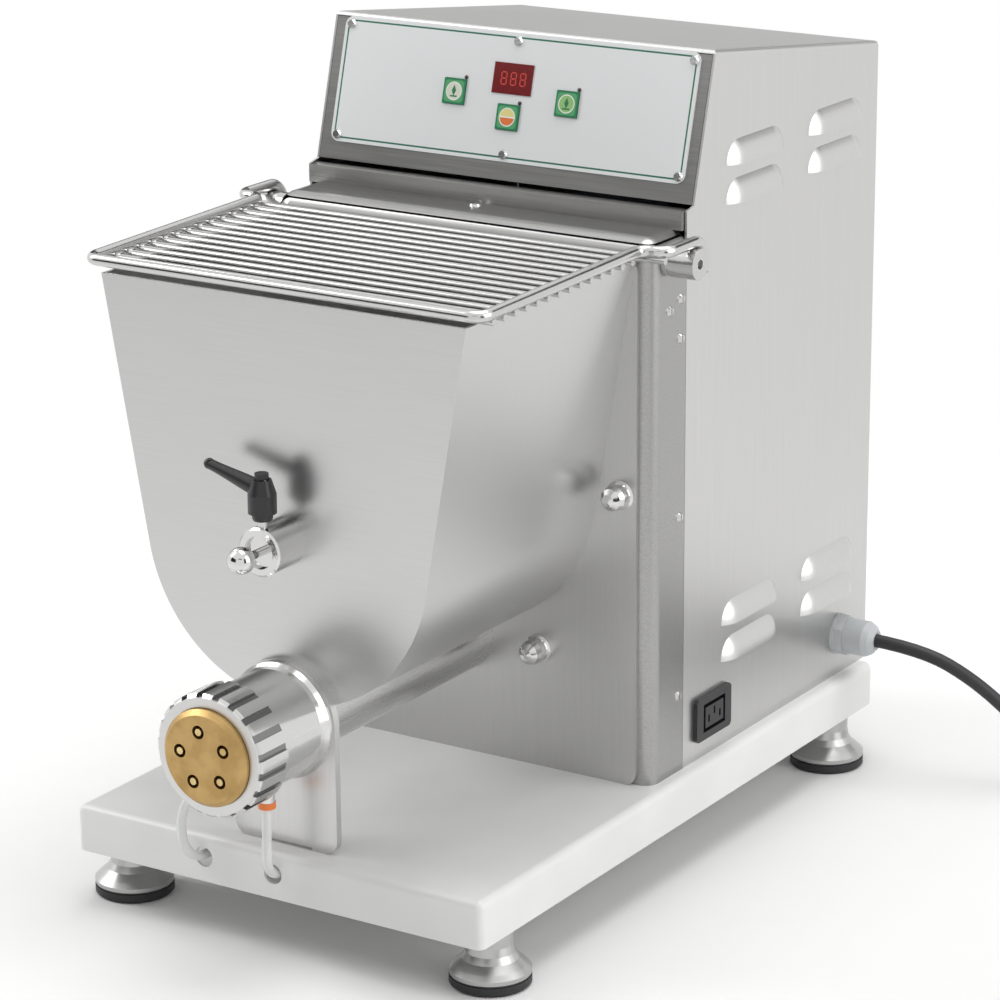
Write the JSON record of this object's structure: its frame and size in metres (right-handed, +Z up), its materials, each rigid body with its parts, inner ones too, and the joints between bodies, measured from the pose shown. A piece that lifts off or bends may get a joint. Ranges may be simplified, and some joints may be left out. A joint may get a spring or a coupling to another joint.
{
  "type": "electric pasta maker",
  "caption": "Countertop electric pasta extruder: stainless mixing tank with barred lid, auger head with brass die and ribbed ring nut, motor cabinet with keypad, and a mains cord.",
  "frame": {"origin": "on the floor under the middle of the machine, halfway between the die face and the rear hose connectors; the free cord is not counted", "axes": "+Z up; -Y to the front, where the die is; +X to the right seen from the front, the side with the mains outlet and cord"},
  "size_m": [0.5896, 0.7222, 0.5217],
  "materials": {
    "cast_aluminium": "satin",
    "sole_rubber": "matte",
    "zinc_steel": "satin",
    "white_enamel": "satin",
    "brushed_stainless": "brushed",
    "polished_stainless": "polished",
    "dark_stainless": "brushed",
    "overlay_film": "satin",
    "red_window": "gloss",
    "led_lens": "gloss",
    "key_plastic": "satin",
    "circuit_board": "satin",
    "polished_chrome": "polished",
    "die_brass": "satin",
    "black_plastic": "satin",
    "dark_plastic": "matte",
    "grey_plastic": "matte",
    "cord_rubber": "matte",
    "plug_rubber": "matte",
    "orange_plastic": "satin",
    "clear_hose": "gloss",
    "painted_frame": "satin",
    "gear_steel": "machined",
    "painted_motor": "satin"
  },
  "bodies": {
    "machine": {"adjustable_feet": "cast_aluminium", "auger_barrel": "polished_stainless", "base_pan": "white_enamel", "bearing_boss": "polished_chrome", "cabinet_cover": "brushed_stainless", "control_board": "circuit_board", "control_fascia": "dark_stainless", "control_overlay": "overlay_film", "display_window": "red_window", "drive_bearings": "zinc_steel", "extrusion_head": "polished_chrome", "fitting_collars": "orange_plastic", "foot_nuts": "zinc_steel", "foot_soles": "sole_rubber", "front_column": "brushed_stainless", "gear_frame": "painted_frame", "gearmotor": "painted_motor", "gland_body": "grey_plastic", "gland_cap": "grey_plastic", "gland_locknut": "grey_plastic", "head_support": "brushed_stainless", "hinge_bushes": "zinc_steel", "hose_connectors": "polished_chrome", "indicator_leds": "led_lens", "ledge_plug": "polished_chrome", "lid_switch": "dark_plastic", "mains_outlet": "black_plastic", "mains_plug": "plug_rubber", "outlet_contacts": "die_brass", "plug_pins": "polished_chrome", "power_cord": "cord_rubber", "power_cord_coil": "cord_rubber", "rear_panel": "brushed_stainless", "slotted_screws": "polished_stainless", "tank": "brushed_stainless", "tank_nuts": "polished_chrome", "tank_rear_plate": "brushed_stainless", "water_fittings": "polished_chrome", "water_hoses": "clear_hose"},
    "lid": {"lid_frame": "polished_stainless", "lid_bars": "polished_stainless", "hinge_bosses": "polished_stainless", "hinge_pins": "zinc_steel"},
    "clamp": {"clamp_stud": "zinc_steel", "lever_screw": "black_plastic", "lever_spring": "zinc_steel"},
    "handle": {"clamp_handle": "black_plastic"},
    "mixer_bearing_pin": {"bearing_pin": "polished_chrome", "pin_knob": "polished_chrome"},
    "die": {"extrusion_die": "die_brass", "die_inserts": "die_brass"},
    "ring": {"ring_nut": "polished_chrome"},
    "mixer": {"mixing_paddle": "polished_stainless", "mixer_gear": "gear_steel"},
    "auger": {"auger_screw": "polished_stainless", "auger_gear": "gear_steel"},
    "pinion": {"motor_pinion": "gear_steel"},
    "left_key": {"key_left": "key_plastic"},
    "start_stop_key": {"key_start_stop": "key_plastic"},
    "right_key": {"key_right": "key_plastic"}
  },
  "joints": [
    {"name": "lid_hinge", "type": "hinge", "parent": "machine", "child": "lid", "pos_m": [0, 0.0072, 0.402], "axis": [-1, 0, 0], "range_deg": [0, 100]},
    {"name": "clamp_turn", "type": "hinge", "parent": "machine", "child": "clamp", "pos_m": [0, -0.2233, 0.28], "axis": [0, 0, 1], "range_deg": [0, 170]},
    {"name": "handle_lift", "type": "slide", "parent": "clamp", "child": "handle", "axis": [0, 0, 1], "range_m": [0, 0.005], "stiffness_N_per_m": 300, "springref_m": -0.003, "deforming": ["lever_spring"]},
    {"name": "bearing_pin_pull", "type": "slide", "parent": "machine", "child": "mixer_bearing_pin", "axis": [0, -1, 0], "range_m": [0, 0.022]},
    {"name": "die_slide", "type": "slide", "parent": "machine", "child": "die", "axis": [0, -1, 0], "range_m": [0, 0.03]},
    {"name": "ring_nut_turn", "type": "hinge", "parent": "die", "child": "ring", "pos_m": [0, -0.2628, 0.147], "axis": [0, -1, 0], "range_deg": [0, 2160]},
    {"name": "mixer_spin", "type": "hinge", "parent": "machine", "child": "mixer", "pos_m": [0, -0.1128, 0.257], "axis": [0, 1, 0], "continuous": true},
    {"name": "auger_spin", "type": "hinge", "parent": "machine", "child": "auger", "pos_m": [0, -0.1128, 0.147], "axis": [0, 1, 0], "continuous": true},
    {"name": "pinion_spin", "type": "hinge", "parent": "machine", "child": "pinion", "pos_m": [0, 0.0172, 0.3395], "axis": [0, 1, 0], "continuous": true},
    {"name": "key_left_press", "type": "slide", "parent": "machine", "child": "left_key", "axis": [0, 0.9637, -0.267], "range_m": [0, 0.0008], "stiffness_N_per_m": 800, "springref_m": -0.0006},
    {"name": "key_start_stop_press", "type": "slide", "parent": "machine", "child": "start_stop_key", "axis": [0, 0.9637, -0.267], "range_m": [0, 0.0008], "stiffness_N_per_m": 800, "springref_m": -0.0006},
    {"name": "key_right_press", "type": "slide", "parent": "machine", "child": "right_key", "axis": [0, 0.9637, -0.267], "range_m": [0, 0.0008], "stiffness_N_per_m": 800, "springref_m": -0.0006}
  ],
  "couplings": [
    {"joint": "ring_nut_turn", "follows": "die_slide", "rad_per_m": 1256},
    {"joint": "auger_spin", "follows": "mixer_spin", "ratio": -1.3158},
    {"joint": "pinion_spin", "follows": "mixer_spin", "ratio": -3.125}
  ]
}
